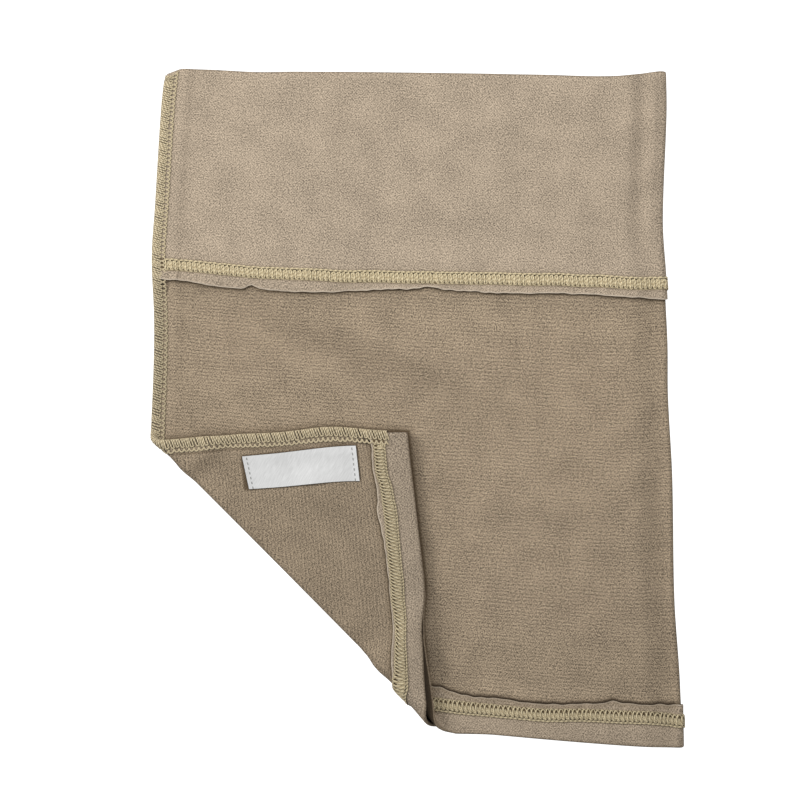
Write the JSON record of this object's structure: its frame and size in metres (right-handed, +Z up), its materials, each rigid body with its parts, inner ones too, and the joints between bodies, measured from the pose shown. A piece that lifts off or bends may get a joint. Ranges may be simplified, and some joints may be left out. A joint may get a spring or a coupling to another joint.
{
  "type": "hijab underscarf cap",
  "caption": "Jersey tube underscarf cap lying flat and inside out, open at both ends, with a wide and a narrow coverstitched hem and one corner folded up.",
  "frame": {"origin": "middle of the lying cap's outline, on the surface it lies on", "axes": "+X from the side seam to the folded side, +Y towards the wide hem, +Z up"},
  "size_m": [0.2676, 0.3394, 0.0142],
  "materials": {
    "jersey": "matt viscose jersey, taupe",
    "seam_thread": "spun polyester overlock thread, khaki",
    "hem_thread": "spun polyester coverstitch thread, khaki",
    "label_satin": "woven polyester satin tape, off-white"
  },
  "bodies": {
    "root": {"jersey_tube": "jersey", "side_seam_overlock": "seam_thread", "wide_hem_coverstitch": "hem_thread", "narrow_hem_coverstitch": "hem_thread", "woven_label": "label_satin"}
  },
  "joints": []
}
